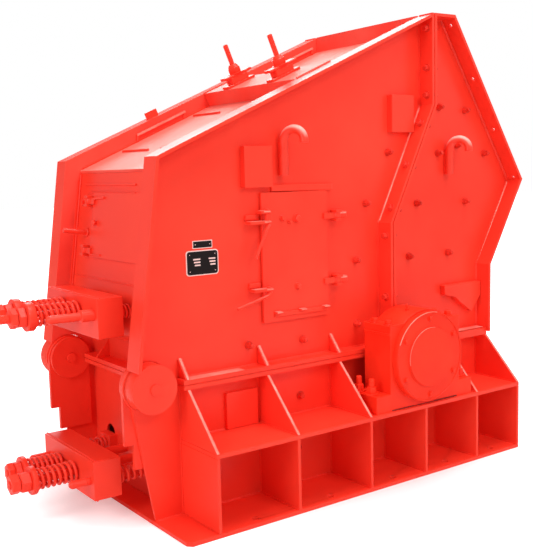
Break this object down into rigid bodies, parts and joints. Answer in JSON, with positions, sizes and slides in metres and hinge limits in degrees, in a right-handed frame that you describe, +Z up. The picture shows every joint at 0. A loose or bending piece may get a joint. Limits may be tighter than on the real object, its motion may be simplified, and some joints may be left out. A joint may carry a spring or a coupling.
{
  "type": "impact crusher",
  "caption": "Red plate-built impact crusher: ribbed base, fixed feed housing, tilting rear housing with doors and spring beams, and a rotor between cast bearing blocks.",
  "frame": {"origin": "centre of the outer anchor bolt rectangle on the underside of the floor plate", "axes": "+Z up, +X along the machine towards the feed mouth, +Y across it towards the drive end of the rotor shaft"},
  "size_m": [3.097, 1.81, 2.481],
  "materials": {
    "paint": "gloss",
    "shaft_steel": "satin",
    "cast_iron": "matte",
    "plate_black": "satin"
  },
  "bodies": {
    "frame": {"floor_plate": "paint", "bay_ribs_near": "paint", "bay_ribs_far": "paint", "shelves": "paint", "lower_side_near": "paint", "lower_side_far": "paint", "lower_rear_wall": "paint", "lower_front_wall": "paint", "frame_gussets_near": "paint", "frame_gussets_far": "paint", "hinge_bosses": "paint", "hinge_pins": "paint", "front_side_near": "paint", "front_side_far": "paint", "front_top_plate": "paint", "front_wall": "paint", "guard_brackets": "paint", "front_hooks": "paint", "bearing_block_near": "paint", "bearing_block_far": "paint", "bearing_cover_near": "paint", "bearing_cover_far": "paint", "lower_spring_beam": "paint", "lower_tie_rods": "paint", "lower_springs": "paint"},
    "rear_housing": {"rear_side_near": "paint", "rear_side_far": "paint", "roof": "paint", "rear_wall": "paint", "crossbeam": "paint", "adjusters": "paint", "upper_spring_beam": "paint", "upper_tie_rods": "paint", "upper_springs": "paint", "impact_plates": "cast_iron", "suspension_shafts": "paint", "shaft_boxes": "paint", "rear_hooks": "paint", "nameplate": "plate_black"},
    "rotor": {"rotor_shaft": "shaft_steel", "rotor_body": "cast_iron", "blow_bars": "cast_iron"},
    "door_near": {"side_door_near": "paint"},
    "door_far": {"side_door_far": "paint"},
    "door_rear": {"rear_door": "paint"}
  },
  "joints": [
    {"name": "rear_housing_tilt", "type": "hinge", "parent": "frame", "child": "rear_housing", "pos_m": [-1.238, 0, 0.672], "axis": [0, -1, 0], "range_deg": [0, 45]},
    {"name": "rotor_spin", "type": "hinge", "parent": "frame", "child": "rotor", "pos_m": [0.265, 0, 0.652], "axis": [0, 1, 0], "continuous": true},
    {"name": "side_door_near_swing", "type": "hinge", "parent": "rear_housing", "child": "door_near", "pos_m": [-0.103, -0.487, 1.215], "axis": [0, 0, 1], "range_deg": [0, 100]},
    {"name": "side_door_far_swing", "type": "hinge", "parent": "rear_housing", "child": "door_far", "pos_m": [-0.103, 0.487, 1.215], "axis": [0, 0, -1], "range_deg": [0, 100]},
    {"name": "rear_door_swing", "type": "hinge", "parent": "rear_housing", "child": "door_rear", "pos_m": [-1.18015, 0.243, 1.39381], "axis": [-0.1377, 0, -0.9905], "range_deg": [0, 100]}
  ]
}
